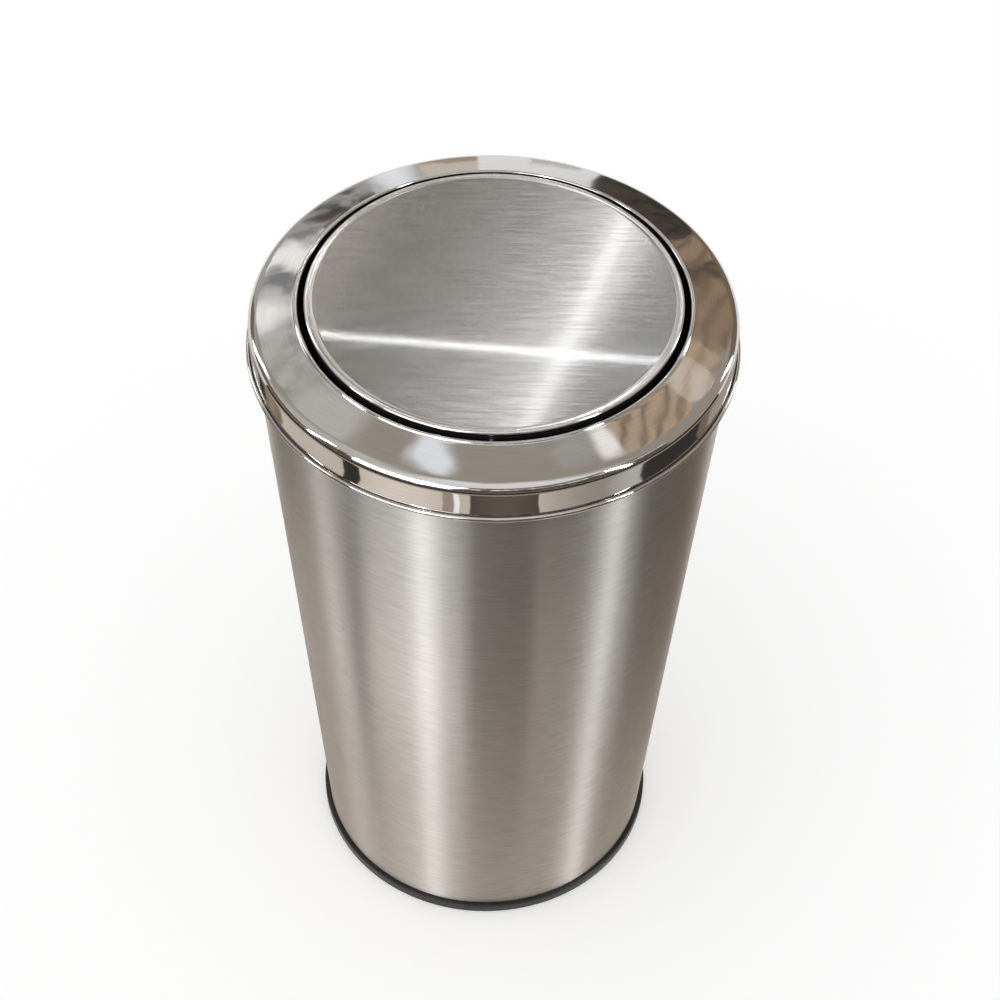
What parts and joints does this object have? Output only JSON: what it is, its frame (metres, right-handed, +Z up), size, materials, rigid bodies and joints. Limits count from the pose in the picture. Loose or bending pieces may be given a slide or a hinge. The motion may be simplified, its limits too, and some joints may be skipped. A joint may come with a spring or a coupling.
{
  "type": "swing-lid waste can",
  "caption": "Round tapered waste can in brushed steel with a lift-off polished lid ring and a counterweighted swing flap.",
  "frame": {"origin": "centre of the can's footprint, on the floor", "axes": "+Z up, -Y front, +X to the right seen from the front; the flap's axle runs along Y"},
  "size_m": [0.25, 0.25, 0.4086],
  "materials": {
    "brushed_wall": "satin",
    "brushed_flap": "satin",
    "polished_ring": "polished",
    "pan_steel": "satin",
    "bright_steel": "polished",
    "zinc_plated": "satin",
    "black_collar": "satin",
    "black_base": "satin",
    "foot_rubber": "matte"
  },
  "bodies": {
    "can": {"body_shell": "brushed_wall", "base_pan": "pan_steel", "base_ring": "black_base", "foot_pad_1": "foot_rubber", "foot_pad_2": "foot_rubber", "foot_pad_3": "foot_rubber", "foot_pad_4": "foot_rubber"},
    "lid": {"lid_ring": "polished_ring", "lid_collar": "black_collar"},
    "flap": {"flap_skin": "brushed_flap", "flap_tray": "black_collar", "axle_rod": "bright_steel", "front_axle_clip": "bright_steel", "rear_axle_clip": "bright_steel", "left_counterweight": "zinc_plated", "right_counterweight": "zinc_plated", "counterweight_screws": "zinc_plated"}
  },
  "joints": [
    {"name": "lid_lift", "type": "slide", "parent": "can", "child": "lid", "axis": [0, 0, 1], "range_m": [0, 0.15]},
    {"name": "flap_swing", "type": "hinge", "parent": "lid", "child": "flap", "pos_m": [0, 0, 0.403], "axis": [0, 1, 0], "continuous": true}
  ]
}
